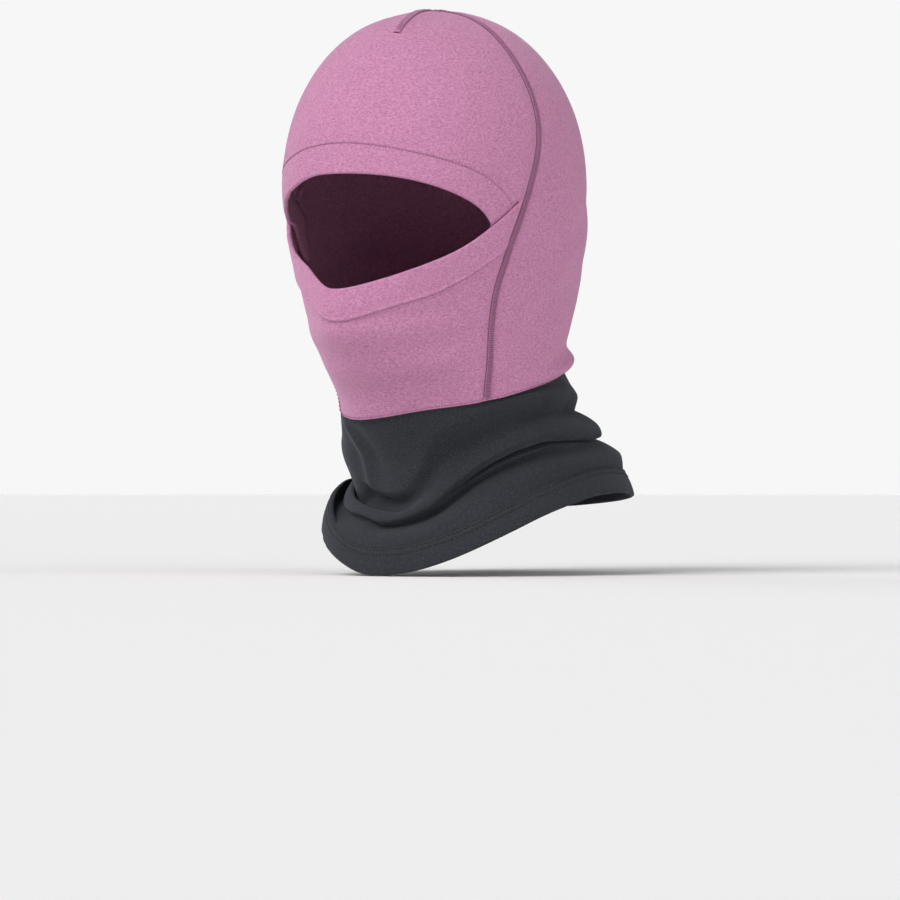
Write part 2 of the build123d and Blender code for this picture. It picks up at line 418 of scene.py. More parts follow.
def mesh_object(name, points, faces, material):
    mesh = bpy.data.meshes.new(name)
    mesh.from_pydata([tuple(p) for p in points], [], [tuple(f) for f in faces])
    mesh.validate()
    mesh.shade_smooth()
    mesh.materials.append(material)
    made = bpy.data.objects.new(name, mesh)
    bpy.context.scene.collection.objects.link(made)
    return made


def thickened(piece, thickness=FABRIC):
    """A single surface turned into a layer of knit of its own thickness, inwards."""
    layer = piece.modifiers.new("layer", "SOLIDIFY")
    layer.thickness, layer.offset, layer.use_even_offset = thickness, -1, False
    bpy.context.view_layer.update()
    done = bpy.data.meshes.new_from_object(piece.evaluated_get(bpy.context.evaluated_depsgraph_get()))
    piece.modifiers.clear()
    piece.data = done
    piece.data.set_sharp_from_angle(angle=math.radians(50))


def clipped(polygon, which):
    """Part of a polygon where one of its fields isn't negative. A corner is (key, values)."""
    made = []
    for (key_a, a), (key_b, b) in zip(polygon, polygon[1:] + polygon[:1]):
        inside_a, inside_b = a[which] >= 0, b[which] >= 0
        if inside_a:
            made.append((key_a, a))
        if inside_a != inside_b:
            t = a[which] / (a[which] - b[which])
            first, last = (key_a, key_b) if repr(key_a) < repr(key_b) else (key_b, key_a)
            made.append(((which, first, last), a * (1 - t) + b * t))
    return made


def cut_panel(name, grid, fields, material):
    """The part of a grid where every field is positive, as a mesh whose edge follows the fields' zero lines."""
    rows, columns = grid.shape[:2]
    stack = np.stack([*fields, grid[..., 0], grid[..., 1], grid[..., 2]], -1)
    inside = np.stack(fields, -1) >= 0
    points, faces, number = [], [], {}

    def vertex(key, values):
        if key not in number:
            number[key] = len(points)
            points.append(values[-3:])
        return number[key]

    corner_sets = [inside[:-1], np.roll(inside, -1, 1)[:-1], np.roll(inside, -1, 1)[1:], inside[1:]]
    all_in = np.all(np.stack(corner_sets), axis=(0, 3))
    all_out = np.any(~np.any(np.stack(corner_sets), axis=0), axis=2)
    for r, c in zip(*np.nonzero(~all_out)):
        beside = (c + 1) % columns
        corners = [(int(r), int(c)), (int(r) + 1, int(c)), (int(r) + 1, int(beside)), (int(r), int(beside))]
        polygon = [(key, stack[key]) for key in corners]
        if not all_in[r, c]:
            for which in range(len(fields)):
                polygon = clipped(polygon, which)
                if len(polygon) < 3:
                    break
        if len(polygon) < 3:
            continue
        face = [vertex(key, values) for key, values in polygon]
        if len(set(face)) >= 3:
            faces.append(face)
    top_ring = [number.get((0, c)) for c in range(columns)]
    if None not in top_ring:  # the little hole at the crown
        points.append(np.array(points)[top_ring].mean(0))
        faces += [[len(points) - 1, a, b] for a, b in zip(top_ring, top_ring[1:] + top_ring[:1])]
    piece = mesh_object(name, points, faces, material)
    edit = bmesh.new()
    edit.from_mesh(piece.data)
    bmesh.ops.remove_doubles(edit, verts=edit.verts, dist=0.04 * MM)
    bmesh.ops.dissolve_degenerate(edit, edges=edit.edges, dist=0.01 * MM)
    edit.to_mesh(piece.data)
    edit.free()
    piece.data.shade_smooth()
    return piece


def lofted(rings, closed_line=False):
    """Points and faces of a skin over equal loops of points, capped at its two ends unless the line closes."""
    rings = np.array(rings)
    count, size = rings.shape[:2]
    faces = []
    for i in range(count if closed_line else count - 1):
        a, b = i * size, ((i + 1) % count) * size
        for k in range(size):
            n = (k + 1) % size
            faces.append((a + k, a + n, b + n, b + k))
    if not closed_line:
        faces.append(tuple(range(size))[::-1])
        faces.append(tuple((count - 1) * size + k for k in range(size)))
    return rings.reshape(-1, 3), faces


def tangents(line, closed=False):
    if closed:
        made = np.roll(line, -1, 0) - np.roll(line, 1, 0)
    else:
        made = np.gradient(line, axis=0)
    return made / np.linalg.norm(made, axis=1, keepdims=True)


def beside_line(normal, ahead):
    """The unit direction across a line, along the surface."""
    beside = np.cross(normal, ahead)
    return beside / np.linalg.norm(beside)


def ribbon(line, profile):
    """Loops of points for a strip along a line on the hood; profile is a loop of (across, height) pairs."""
    rings = []
    for place, ahead in zip(line, tangents(line)):
        beside = beside_line(on_hood(place)[1], ahead)
        seats = [on_hood(place + beside * across) for across, _ in profile]
        rings.append([seat + up * height for (seat, up), (_, height) in zip(seats, profile)])
    return rings


class Stitches:
    """Many short threads gathered into one mesh."""

    def __init__(self):
        self.points, self.faces = [], []

    def add(self, points, faces):
        start = sum(len(p) for p in self.points)
        self.points.append(np.array(points))
        self.faces += [tuple(start + i for i in face) for face in faces]

    def thread(self, path, radius, sides=6):
        """A round thread along a few points, tapered at its two ends."""
        path = np.array(path)
        ahead = tangents(path)
        helper = np.array([0.31, 0.52, 0.79])
        rings = []
        for i, (place, along) in enumerate(zip(path, ahead)):
            across = np.cross(along, helper)
            across /= np.linalg.norm(across)
            over = np.cross(along, across)
            size = radius * (0.45 if i in (0, len(path) - 1) else 1.0)
            turns = np.arange(sides) * 2 * math.pi / sides
            rings.append([place + (across * math.cos(t) + over * math.sin(t)) * size for t in turns])
        self.add(*lofted(rings))

    def row(self, line, pitch, path_shape, radius, height, snap, closed=False, sides=6):
        """Threads at an even pitch on a line; path_shape gives (ahead, across, lift) for each point of a thread."""
        dense = resampled(line, pitch, closed)
        for place, ahead in zip(dense, tangents(dense, closed)):
            beside = beside_line(snap(place)[1], ahead)
            path = []
            for forward, across, lift in path_shape:
                seat, up = snap(place + ahead * forward + beside * across)
                path.append(seat + up * (height + lift))
            self.thread(path, radius, sides)

    def dashes(self, line, across, pitch, length, radius, height, snap, slant=0.0, closed=False, bow=0.0):
        """A row of stitches beside a line: each dips into the knit at both ends."""
        shape = [(t * length, across + slant * t * length, lift * bow)
                 for t, lift in ((-0.5, -1.0), (-0.3, 0.35), (0.0, 1.0), (0.3, 0.35), (0.5, -1.0))]
        self.row(line, pitch, shape, radius, height, snap, closed)

    def rungs(self, line, half_width, pitch, radius, height, lean):
        """Threads that cross a flatlock seam from side to side."""
        shape = [(lean * t, t * half_width, lift * radius)
                 for t, lift in ((-1.0, -0.8), (-0.7, 0.1), (0.0, 0.55), (0.7, 0.1), (1.0, -0.8))]
        self.row(line, pitch, shape, radius, height, on_hood, sides=5)

    def made(self, name, material):
        return mesh_object(name, np.vstack(self.points), self.faces, material)


def hem_band(name, edge_points, stitch_points, profile, dip):
    """A folded hem between its free edge and its line of stitching, as a closed loop swept across the face.

    profile gives (share of the width, extra distance, height) for each point of the loop, and dip how far a place
    on it is pressed down."""
    count = max(len(resampled(line, HEM_SPACING)) for line in (edge_points, stitch_points))
    rings = []
    for low, high in zip(matched(edge_points, count), matched(stitch_points, count)):
        width = np.linalg.norm(high - low)
        across = (high - low) / width
        ring = []
        for share, extra, height in profile:
            seat, up = on_hood(low + across * (share * width + extra))
            ring.append(seat + up * (height - dip(seat)))
        rings.append(ring)
    return mesh_object(name, *lofted(rings), HOOD_KNIT)


# ---------------- the gaiter

GAITER_COLUMNS = 330
PROFILE_SAMPLES = 128

# The gaiter's folds, by degrees round from the front (positive to the wearer's left). Each pair is a height and how
# far the cloth stands off the plain worn shape there, in mm. Going down the cloth: the last ridge of the neck tube,
# the bottom of the valley or pocket under it, the way up out of it, the roll's crest or lip, its underside, the
# crease below it, a small fold, the crease below that, and the crest of the collar.
FOLDS = {
    -90: ((-122, 0.5), (-154, -13), (-150, -11), (-145, -7), (-149, -6.5), (-152, -8), (-153, -8.5), (-154.5, -10),
          (-157, -2)),
    -57: ((-136, 0.6), (-165, -16), (-161, -14), (-154.5, -9.5), (-159, -7.5), (-162.5, -8.5), (-164, -9), (-166, -11),
          (-168, -3.5)),
    -40: ((-146, -1.5), (-168, -17), (-168, -14), (-162, -9), (-165, -6), (-167.5, -6), (-168.5, -7), (-170.5, -10),
          (-174, -2.5)),
    -30: ((-152, -3), (-160.5, -15), (-168.5, -15), (-165, -7.5), (-168, -4), (-170, -4.5), (-171, -6), (-173, -9.5),
          (-178, -1)),
    -18: ((-157.5, -3.5), (-163, -14), (-171, -13), (-168.3, -5), (-170.5, -2.5), (-172, -3.5), (-173, -6),
          (-174.5, -9), (-181, 0)),
    -9: ((-160, -3), (-165, -12.5), (-171.5, -10), (-170, -3.8), (-173.5, -1.2), (-176, -2.5), (-177, -5.5),
         (-178.5, -8.5), (-184, 0.5)),
    0: ((-159, -2), (-166, -9), (-170.5, -7), (-170.8, -2), (-173, -0.5), (-175, -2), (-175.8, -5), (-177, -8),
        (-183.5, 0.6)),
    8: ((-146, -0.5), (-160, -6), (-165, -3), (-168, 0.3), (-170.3, 0.3), (-172, -2), (-173, -4.5), (-174.8, -8),
        (-181.5, 0.8)),
    15: ((-130, 0.4), (-145, -5), (-155, -1.5), (-161, 2), (-165.5, 1.2), (-168.5, -2.5), (-169.5, -4.5),
         (-171.5, -8.5), (-178.5, 0.8)),
    25: ((-122, 0.4), (-139, -5.5), (-146.5, -0.8), (-151.6, 2.6), (-154.5, 1), (-157, -4), (-158.2, -2.5),
         (-160.5, -8), (-170, 1)),
    35: ((-116, 0.4), (-131, -6), (-137.5, -0.4), (-142.5, 3), (-145, 1), (-147.2, -5), (-149, -1.5), (-151.5, -7),
         (-160.5, 1.6)),
    48: ((-109, 0.8), (-121.5, -6.4), (-128.5, -0.5), (-134, 3.4), (-136.8, 1), (-138.8, -5), (-140.8, -0.6),
         (-143.6, -6), (-152, 2.4)),
    63: ((-105.5, 1.4), (-117.5, -6.6), (-122.5, -0.2), (-128.4, 4.2), (-131.6, 1.4), (-133.6, -5), (-135.2, 0.2),
         (-137.6, -3.6), (-146, 4)),
    89: ((-105.5, 3.2), (-117, -4.4), (-119.8, 1.4), (-126, 6), (-130.4, 3.2), (-132.6, -4.6), (-133.6, -1),
         (-135, 0), (-142, 6.4)),
    108: ((-108.6, 5.2), (-118.6, -0.6), (-119.4, 4), (-124.5, 7.6), (-130.2, 6), (-132.8, -2.5), (-133.6, 0.5),
          (-134.8, 3.5), (-140, 8.2)),
    135: ((-103, 4.6), (-110, -3), (-115, 1), (-121, 5), (-126, 2.8), (-129.2, -4), (-130, -4), (-131, -1),
          (-138, 6.5)),
    165: ((-100, 3.6), (-107.5, -5), (-112.5, 0.4), (-118, 4.2), (-122.5, 1.8), (-125.5, -4.6), (-126.6, -5),
          (-128, -2), (-136, 5)),
    195: ((-100, 3.4), (-108, -5), (-113, 0.2), (-119, 4), (-123.5, 1.6), (-126.5, -4.6), (-127.6, -5), (-129, -2),
          (-137, 5)),
    225: ((-103, 2.2), (-112, -6), (-117.5, -0.6), (-123, 2.6), (-127.5, 0.6), (-130, -4), (-131, -5.5),
          (-132.6, -6), (-139, 4)),
    248: ((-109, 1), (-126, -9), (-130, -5.5), (-133, -1.5), (-138, -1.8), (-140.5, -4), (-141.6, -6), (-143, -7.5),
          (-147, 2)),
}
# The gaiter's lower edge: degrees, its height, and how far it stands off the plain shape.
HEM_EDGE = {
    -90: (-166, 1), -75: (-168, 0), -53: (-178, -1), -40: (-187, -1), -27: (-195.5, -0.5), -18: (-201, 0),
    -11: (-203.6, 0.4), -2: (-203.4, 0.6), 7: (-202, 0.6), 15: (-199.2, 0.7), 24: (-194.6, 0.8), 32: (-189.3, 1),
    41: (-182.8, 1.2), 55: (-173, 1.8), 64: (-168.3, 2.2), 80: (-162.2, 3.6), 96: (-160.2, 5), 107: (-160.1, 5.6),
    122: (-161.5, 6), 150: (-165, 5), 180: (-168.5, 4.5), 210: (-168, 4), 240: (-166, 3),
}
HEM_HEIGHT = 14.5  # mm, from the lower edge up to the top of the hem
TURNS = np.arange(GAITER_COLUMNS) * 360 / GAITER_COLUMNS


def round_values(table, pick):
    """A table by degrees, turned into one smooth value per gaiter column."""
    keys = sorted(table)
    values = [pick(table[k]) for k in keys]
    wide = [k - 360 for k in keys] + keys + [k + 360 for k in keys]
    fine = np.interp(TURNS, wide, values * 3)
    spread = int(round(5.0 / 360 * GAITER_COLUMNS))
    for _ in range(3):
        kernel = np.ones(spread) / spread
        fine = np.convolve(np.concatenate([fine[-spread:], fine, fine[:spread]]), kernel, "same")[spread:-spread]
    return fine


EDGE_HEIGHT = round_values(HEM_EDGE, lambda row: row[0])
EDGE_OUT = round_values(HEM_EDGE, lambda row: row[1])
HEM_TOP = np.stack([EDGE_HEIGHT + HEM_HEIGHT, EDGE_OUT * 0.75], -1)


def gaiter_base():
    """The CAD gaiter's distance from the neck's axis, by column and by height, as a smooth table."""
    tree = cad_tree(("gaiter_tube", "gaiter_hem", "back_panel_left", "back_panel_right", "mask_panel"))
    levels = np.arange(-206, -70, 2.0)
    table = np.full((len(levels), GAITER_COLUMNS), np.nan)
    for r, level in enumerate(levels):
        centre = Vector((0, NECK_CENTRE, level * MM))
        for c, turn in enumerate(np.radians(TURNS)):
            out = Vector((math.sin(turn), -math.cos(turn), 0))
            hit = tree.ray_cast(centre + out * REACH, -out, REACH)[0]
            if hit:
                table[r, c] = (hit - centre).length
    for c in range(GAITER_COLUMNS):
        gap = np.isnan(table[:, c])
        table[gap, c] = np.interp(np.flatnonzero(gap), np.flatnonzero(~gap), table[~gap, c])
    for _ in range(5):
        table = blurred_down(table)
    return levels, table


BASE_LEVELS, BASE_RADIUS = gaiter_base()


def gaiter_point(column, height, out):
    """A place on or off the gaiter's plain shape; height and out in mm, column a whole number."""
    radius = np.interp(height, BASE_LEVELS, BASE_RADIUS[:, column]) + out * MM
    turn = math.radians(TURNS[column])
    return np.array([radius * math.sin(turn), NECK_CENTRE - radius * math.cos(turn), height * MM])


def smooth_path(knots, samples):
    """A centripetal curve through a few (height, out) knots, at even spacing along it."""
    knots = np.array(knots, float)
    knots = np.vstack([2 * knots[0] - knots[1], knots, 2 * knots[-1] - knots[-2]])
    made = []
    for a, b, c, d in zip(knots, knots[1:], knots[2:], knots[3:]):
        t1 = max(np.linalg.norm(b - a), 1e-3) ** 0.5
        t2 = t1 + max(np.linalg.norm(c - b), 1e-3) ** 0.5
        t3 = t2 + max(np.linalg.norm(d - c), 1e-3) ** 0.5
        for t in np.linspace(t1, t2, 24, endpoint=False):
            ab = a * (t1 - t) / t1 + b * t / t1
            bc = b * (t2 - t) / (t2 - t1) + c * (t - t1) / (t2 - t1)
            cd = c * (t3 - t) / (t3 - t2) + d * (t - t2) / (t3 - t2)
            abc = ab * (t2 - t) / t2 + bc * t / t2
            bcd = bc * (t3 - t) / (t3 - t1) + cd * (t - t1) / (t3 - t1)
            made.append(abc * (t2 - t) / (t2 - t1) + bcd * (t - t1) / (t2 - t1))
    made.append(knots[-2])
    return matched(made, samples)


def neck_level(column):
    """Height in mm of the neck seam's plane where it meets the gaiter's plain shape."""
    height = NECK_LOW.z / MM
    for _ in range(8):
        y = gaiter_point(column, height, 0)[1]
        height = (NECK_LOW.z + NECK_SLOPE * (y - NECK_LOW.y)) / MM
    return height


def gaiter_grid():
    """The whole gaiter tube as rows down the cloth by columns round it, with every fold."""
    folds = [[round_values(FOLDS, lambda row: row[k][which]) for which in (0, 1)] for k in range(len(FOLDS[0]))]
    columns = []
    for c in range(GAITER_COLUMNS):
        top = neck_level(c)
        seam = gaiter_point(c, top, 0)
        behind = float(step_up(min(TURNS[c], 360 - TURNS[c]), 62, 112))
        top -= float(slipped(seam)) / MM
        knots = [(top + 6, -2.8), (top - 1.5, -1.5 - 0.6 * behind)]
        knots.append(((knots[1][0] + folds[0][0][c]) / 2, (knots[1][1] + folds[0][1][c]) / 2 + 0.2))
        knots += [(height[c], out[c]) for height, out in folds]
        low, flare = HEM_TOP[c]
        knots.append(((knots[-1][0] + low) / 2, (knots[-1][1] + flare) / 2 + 0.5))
        knots.append((low - 1.5, flare - 0.5))
        path = smooth_path(knots, PROFILE_SAMPLES)
        columns.append([gaiter_point(c, height, out) for height, out in path])
    grid = np.array(columns).transpose(1, 0, 2)
    grid[1:-1] = (grid[:-2] + 2 * grid[1:-1] + grid[2:]) / 4
    return blurred_round(grid)


def gaiter_offset(grid):
    """Small unevenness of the gaiter's cloth, and the soft upright crease at the front of the neck."""
    offset = 0.5 * MM * unevenness(grid, 24 * MM, 11.3) + 0.16 * MM * unevenness(grid, 9 * MM, 5.9)
    x, y, z = grid[..., 0], grid[..., 1] - NECK_CENTRE, grid[..., 2]
    turn = np.degrees(np.arctan2(x, -y))
    crease = step_up(-z, 116 * MM, 128 * MM) * step_up(z, -164 * MM, -152 * MM)
    leaning = turn + 30.5 + (z + 126.8 * MM) * 350  # degrees from the crease, which leans towards the middle
    offset += crease * MM * (1.1 * bell(leaning, 2.6) - 1.3 * bell(leaning - 7, 5) - 0.8 * bell(leaning + 6, 4))
    return offset * step_up(np.arange(grid.shape[0])[:, None], 4, 16)


TUBE = gaiter_grid()
TUBE = displaced(TUBE, gaiter_offset(TUBE))
TUBE_NORMALS = grid_normals(TUBE)


def gaiter_hem_rings():
    """The gaiter's folded hem: a flat loop of two layers with a round lower edge, one loop for each column."""
    layers, face, rows = 2.3, 0.5, (1.2, 4.0)  # mm: both layers together, how far the face stands off, stitch rows
    rings = []
    for c in range(GAITER_COLUMNS):
        height, out = EDGE_HEIGHT[c], EDGE_OUT[c]
        top, top_out = HEM_TOP[c]
        length = math.hypot(top - height, out - top_out)
        down = np.array([height - top, out - top_out]) / length
        away = np.array([down[1], -down[0]])  # off the hem's face, outwards
        loop = []
        flat = length - layers / 2
        for w in [*np.arange(0, 5.2, 0.4), *np.linspace(5.6, flat, 7)]:
            groove = 0.26 * sum(math.exp(-((w - row) / 0.5) ** 2) for row in rows)
            puff = 0.35 * math.sin(math.pi * min(w / length, 1)) - 0.6 * math.exp(-w / 0.5)
            loop.append((w, face + puff - groove))
        for a in np.linspace(0, math.pi, 9)[1:-1]:
            loop.append((flat + math.sin(a) * layers / 2, face - layers / 2 + math.cos(a) * layers / 2))
        loop += [(w, face - layers) for w in np.linspace(flat, 0, 7)]
        ring = []
        for w, lift in loop:
            spot = np.array([top, top_out]) + down * w + away * lift
            ring.append(gaiter_point(c, spot[0], spot[1]))
        rings.append(ring)
    return blurred_round(blurred_round(np.array(rings), 0), 0)


# ---------------- materials

def node_material(name):
    material = bpy.data.materials.new(name)
    material.use_nodes = True
    nodes = material.node_tree.nodes
    return material, nodes, material.node_tree.links, nodes["Principled BSDF"]


def ramp_between(nodes, links, factor, low, high, places=(0, 1)):
    """A colour ramp driven by a factor, from one colour to another."""
    ramp = nodes.new("ShaderNodeValToRGB")
    for element, place, colour in zip(ramp.color_ramp.elements, places, (low, high)):
        element.position, element.color = place, (*colour, 1)
    links.new(factor, ramp.inputs["Fac"])
    return ramp.outputs["Color"]


def bump_node(nodes, links, height, strength, depth):
    """A bump of the given depth in mm."""
    bump = nodes.new("ShaderNodeBump")
    bump.inputs["Strength"].default_value = strength
    bump.inputs["Distance"].default_value = depth * MM
    links.new(height, bump.inputs["Height"])
    return bump


def knit(name, light, dark, fleck, sheen, sheen_tint, bump, contrast=0.5):
    """Brushed interlock knit: heathered fibres in level streaks, a fine nap and a soft sheen."""
    material, nodes, links, shader = node_material(name)
    place = nodes.new("ShaderNodeTexCoord")

    def grain(scale, size, detail, seed):
        mapping = nodes.new("ShaderNodeMapping")
        mapping.inputs["Scale"].default_value = scale
        mapping.inputs["Location"].default_value = (seed, seed * 0.7, seed * 1.3)
        texture = nodes.new("ShaderNodeTexNoise")
        texture.inputs["Scale"].default_value = size
        texture.inputs["Detail"].default_value = detail
        texture.inputs["Roughness"].default_value = 0.6
        links.new(place.outputs["Object"], mapping.inputs["Vector"])
        links.new(mapping.outputs["Vector"], texture.inputs["Vector"])
        return texture.outputs["Fac"]

    def mixed(factor, a, b, low, high):
        ramp = nodes.new("ShaderNodeMapRange")
        ramp.inputs["From Min"].default_value = low
        ramp.inputs["From Max"].default_value = high
        links.new(factor, ramp.inputs["Value"])
        mix = nodes.new("ShaderNodeMix")
        mix.data_type = "RGBA"
        links.new(ramp.outputs["Result"], mix.inputs["Factor"])
        for socket, value in ((mix.inputs["A"], a), (mix.inputs["B"], b)):
            if isinstance(value, tuple):
                socket.default_value = (*value, 1)
            else:
                links.new(value, socket)
        return mix.outputs["Result"]

    heather = mixed(grain((1, 1, 1.9), 620, 3, 0.0), dark, light, 0.5 - contrast / 2, 0.5 + contrast / 2)
    middle_tone = tuple((a + b) / 2 for a, b in zip(light, dark))
    streaks = grain((0.35, 0.35, 3.2), 190, 2, 3.0)
    toned = mixed(streaks, heather, middle_tone, 0.35, 0.9)
    flecked = mixed(grain((1, 1, 1.4), 1500, 1, 7.0), toned, fleck, 0.60, 0.86)
    links.new(flecked, shader.inputs["Base Color"])
    nap = grain((1, 1, 1.5), 900, 4, 11.0)
    rib = grain((0.5, 0.5, 4.0), 480, 2, 15.0)
    first = bump_node(nodes, links, nap, bump, 0.35)
    second = bump_node(nodes, links, rib, bump * 0.7, 0.3)
    links.new(first.outputs["Normal"], second.inputs["Normal"])
    links.new(second.outputs["Normal"], shader.inputs["Normal"])
    rough = nodes.new("ShaderNodeMapRange")
    rough.inputs["To Min"].default_value = 0.82
    rough.inputs["To Max"].default_value = 0.97
    links.new(nap, rough.inputs["Value"])
    links.new(rough.outputs["Result"], shader.inputs["Roughness"])
    shader.inputs["Specular IOR Level"].default_value = 0.18
    shader.inputs["Sheen Weight"].default_value = sheen
    shader.inputs["Sheen Roughness"].default_value = 0.45
    shader.inputs["Sheen Tint"].default_value = (*sheen_tint, 1)
    return material


def thread_material(name, light, dark, grain_size=1600):
    """Spun sewing thread: a little smoother than the knit, with fine fibres along it."""
    material, nodes, links, shader = node_material(name)
    place = nodes.new("ShaderNodeTexCoord")
    texture = nodes.new("ShaderNodeTexNoise")
    texture.inputs["Scale"].default_value = grain_size
    texture.inputs["Detail"].default_value = 2
    links.new(place.outputs["Object"], texture.inputs["Vector"])
    colour = ramp_between(nodes, links, texture.outputs["Fac"], dark, light, (0.35, 0.68))
    links.new(colour, shader.inputs["Base Color"])
    bump = bump_node(nodes, links, texture.outputs["Fac"], 0.35, 0.12)
    links.new(bump.outputs["Normal"], shader.inputs["Normal"])
    shader.inputs["Roughness"].default_value = 0.62
    shader.inputs["Specular IOR Level"].default_value = 0.3
    shader.inputs["Sheen Weight"].default_value = 0.15
    return material


HOOD_KNIT = knit("hood_knit", (0.630, 0.288, 0.462), (0.432, 0.163, 0.304), (0.74, 0.44, 0.61), 0.22,
                 (0.95, 0.80, 0.90), 0.45, 0.28)
GAITER_KNIT = knit("gaiter_knit", (0.0385, 0.0415, 0.0490), (0.0190, 0.0205, 0.0255), (0.082, 0.088, 0.102), 0.14,
                   (0.55, 0.60, 0.68), 0.35)
HOOD_THREAD = thread_material("hood_thread", (0.520, 0.225, 0.385), (0.410, 0.165, 0.300))
# a real layer of thread under the rungs, coloured much darker than them: painted shade for the gaps between the rungs
SEAM_BED_PAINTED_SHADE = thread_material("hood_seam_bed_painted_shade", (0.270, 0.098, 0.190), (0.190, 0.066, 0.132), 900)
HEM_THREAD = thread_material("hood_hem_thread", (0.350, 0.135, 0.262), (0.235, 0.085, 0.172))
FINE_THREAD = thread_material("hood_fine_thread", (0.400, 0.165, 0.290), (0.290, 0.110, 0.210))
NECK_THREAD = thread_material("neck_thread", (0.330, 0.120, 0.235), (0.220, 0.075, 0.155))
GAITER_THREAD = thread_material("gaiter_thread", (0.0150, 0.0170, 0.0210), (0.0085, 0.0095, 0.0125))


def ribbon_material():
    """Blank satin ribbon for the care label."""
    material, nodes, links, shader = node_material("label_ribbon")
    place = nodes.new("ShaderNodeTexCoord")
    weave = nodes.new("ShaderNodeTexWave")
    weave.bands_direction = "Z"
    weave.inputs["Scale"].default_value = 900
    weave.inputs["Distortion"].default_value = 0.6
    links.new(place.outputs["Object"], weave.inputs["Vector"])
    colour = ramp_between(nodes, links, weave.outputs["Fac"], (0.70, 0.69, 0.66), (0.80, 0.79, 0.77))
    links.new(colour, shader.inputs["Base Color"])
    bump = bump_node(nodes, links, weave.outputs["Fac"], 0.2, 0.05)
    links.new(bump.outputs["Normal"], shader.inputs["Normal"])
    shader.inputs["Roughness"].default_value = 0.45
    shader.inputs["Sheen Weight"].default_value = 0.1
    return material


# ---------------- the hood's panels

LEFT, HEIGHT = RAW[..., 0], RAW[..., 2]
AHEAD = seam_y(HEIGHT) - RAW[..., 1]  # in front of the arch seam
ABOVE_NECK = neck_height(RAW)

crown = cut_panel("crown_panel_knit", HOOD, [AHEAD, HEIGHT - forehead_top(RAW)], HOOD_KNIT)
mask = cut_panel("mask_panel_knit", HOOD, [AHEAD, ABOVE_NECK, mask_low(RAW) - HEIGHT], HOOD_KNIT)
back_left = cut_panel("back_panel_left_knit", HOOD, [-AHEAD, ABOVE_NECK, LEFT], HOOD_KNIT)
back_right = cut_panel("back_panel_right_knit", HOOD, [-AHEAD, ABOVE_NECK, -LEFT], HOOD_KNIT)
for panel in (crown, mask, back_left, back_right):
    thickened(panel)

# ---------------- the folded hems of the eye opening

FOREHEAD_EDGE, FOREHEAD_STITCH = face_line(forehead_low), face_line(forehead_top)
MASK_EDGE, MASK_STITCH = face_line(mask_top), face_line(mask_low)
HEM_LAYERS = 2.5 * MM


def hem_loop(proud, grooves, ledge=0.0):
    """The cross-section of a folded hem, starting at its stitch line: out over its face, round its edge and back."""
    half, far_off = HEM_LAYERS / 2, 99
    loop = []
    near = [(1, -w * MM) for w in (0, 0.3, 0.6, 0.9, 1.2, 1.6, 2.0, 2.5, 3.0, 3.4, 3.8, 4.2, 4.6, 5.2)]
    far = [(share, 0.0) for share in (0.62, 0.5, 0.38, 0.26, 0.16)]
    for share, extra in near + far:
        from_stitch = -extra / MM if share == 1 else far_off
        groove = sum(0.5 * math.exp(-((from_stitch - g) / 0.5) ** 2) for g in grooves)
        ridge = ledge * (math.exp(-((from_stitch - 1.2) / 0.9) ** 2) - 1.6 * math.exp(-(from_stitch / 0.35) ** 2))
        loop.append((share, extra, (proud - groove + ridge) * MM))
    for a in np.linspace(0, math.pi, 11):
        loop.append((0, half - half * math.sin(a), proud * MM - half + half * math.cos(a)))
    loop += [(share, 0, proud * MM - HEM_LAYERS) for share in (0.25, 0.5, 0.75, 1)]
    return loop


def under_mask(place):
    """How far the forehead hem sinks where it passes under the mask's hem."""
    below = mask_top(place) - place[2]
    return 2.2 * MM * float(step_up(below, -1.6 * MM, 0.8 * MM))


def under_seam(place):
    """How far the mask's hem is pressed down where the arch seam is sewn over it."""
    return 1.15 * MM * float(1 - step_up(seam_y(place[2]) - place[1], 1.0 * MM, 4.5 * MM))


forehead_hem = hem_band("forehead_hem_knit", FOREHEAD_EDGE, FOREHEAD_STITCH, hem_loop(0.15, (4.0,)), under_mask)
mask_hem = hem_band("mask_hem_knit", MASK_EDGE, MASK_STITCH, hem_loop(0.9, (), 0.4), under_seam)

# ---------------- seams and stitches

SEAM_PITCH = 0.95  # mm between the rungs of a flatlock seam
SEAM_PROFILE = ((-1.0, -1.2), (-1.0, 0.2), (-0.86, 0.75), (-0.5, 1.0), (0, 1.05), (0.5, 1.0), (0.86, 0.75), (1.0, 0.2),
                (1.0, -1.2))
SEAM_BED_HEIGHT = 0.42 * MM


def flatlock(name, line, half):
    """A flatlock seam: a bed of thread, rungs across it and two needle rows; the bed's dark colour is painted shade in
    the gaps between the rungs. half is its half width in mm.
    """
    stitches = Stitches()
    stitches.rungs(line, half * 0.93 * MM, SEAM_PITCH * MM, 0.27 * MM, 0.50 * MM, lean=0.35 * MM)
    for side in (-1, 1):
        stitches.dashes(line, side * half * 0.80 * MM, 2.1 * MM, 1.75 * MM, 0.27 * MM, 0.62 * MM, on_hood,
                        slant=0.12 * side, bow=0.22 * MM)
    profile = [(across * half * MM, lift * SEAM_BED_HEIGHT) for across, lift in SEAM_PROFILE]
    # the bed's dark colour is painted shade between the rungs
    bed = mesh_object(name + "_bed", *lofted(ribbon(line, profile)), SEAM_BED_PAINTED_SHADE)
    return bed, stitches.made(name, HOOD_THREAD)


